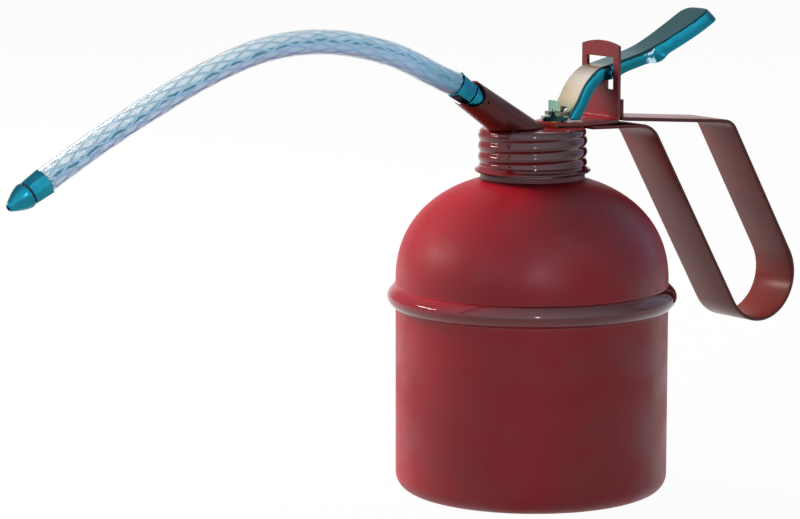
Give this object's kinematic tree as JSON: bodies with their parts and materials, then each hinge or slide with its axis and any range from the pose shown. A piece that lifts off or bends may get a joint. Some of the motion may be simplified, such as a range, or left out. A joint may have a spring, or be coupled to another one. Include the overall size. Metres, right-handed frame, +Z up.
{
  "type": "oil can",
  "caption": "Pump oil can: cylindrical can with domed top, threaded cap carrying a thumb lever, strap handle and a curved braided hose spout.",
  "frame": {"origin": "centre of the can's flat base, on the surface it stands on", "axes": "+Z up along the can's axis, +X from that axis towards the handle and the lever's pad, -X towards the spout"},
  "size_m": [0.3091, 0.0956, 0.1572],
  "materials": {
    "red_enamel": "gloss stoved enamel",
    "brown_red_enamel": "gloss enamel, darker red",
    "blue_plate": "bright zinc plate with a blue passivation",
    "zinc_plate": "zinc plated",
    "clear_pvc": "clear hose over a woven braid",
    "black_rubber": "matt",
    "brass": "turned",
    "spring_steel": "oiled"
  },
  "bodies": {
    "can": {"lower_cup": "red_enamel", "dome_top": "red_enamel", "threaded_neck": "zinc_plate"},
    "gasket": {"cap_gasket": "black_rubber"},
    "head": {"screw_cap": "red_enamel", "lever_bracket": "brown_red_enamel", "handle_strap": "brown_red_enamel", "spout_socket": "brown_red_enamel", "hose_union": "blue_plate", "spout_hose": "clear_pvc", "hose_stem": "blue_plate", "rear_ferrule": "blue_plate", "tip_ferrule": "blue_plate", "nozzle_tip": "blue_plate", "pump_barrel": "brass", "gland_packing": "black_rubber", "gland_nut": "blue_plate", "return_spring": "spring_steel", "delivery_pipe": "brass", "foot_valve": "brass", "ball_stop": "spring_steel", "suction_tube": "brass", "strainer": "zinc_plate"},
    "lever": {"lever": "blue_plate", "pivot_pin": "blue_plate"},
    "plunger": {"plunger_rod": "blue_plate", "piston": "brass", "piston_cup": "black_rubber"},
    "ball": {"inlet_ball": "spring_steel"}
  },
  "joints": [
    {"name": "head_rise", "type": "slide", "parent": "can", "child": "gasket", "axis": [0, 0, 1], "range_m": [0, 0.01258]},
    {"name": "head_turn", "type": "hinge", "parent": "gasket", "child": "head", "pos_m": [0, 0, 0.11], "axis": [0, 0, 1], "range_deg": [0, 1260]},
    {"name": "lever_pivot", "type": "hinge", "parent": "head", "child": "lever", "pos_m": [0.0292, 0, 0.13687], "axis": [0, 1, 0], "range_deg": [0, 17], "stiffness_Nm_per_rad": 0.6, "springref_deg": -17.19},
    {"name": "plunger_stroke", "type": "slide", "parent": "head", "child": "plunger", "axis": [0, 0, 1], "range_m": [0, 0.0058], "deforming": ["return_spring"]},
    {"name": "inlet_ball_lift", "type": "slide", "parent": "head", "child": "ball", "axis": [0, 0, 1], "range_m": [0, 0.001]}
  ],
  "couplings": [
    {"joint": "head_turn", "follows": "head_rise", "rad_per_m": 1745.3},
    {"joint": "plunger_stroke", "follows": "lever_pivot", "m_per_rad": 0.0194}
  ]
}
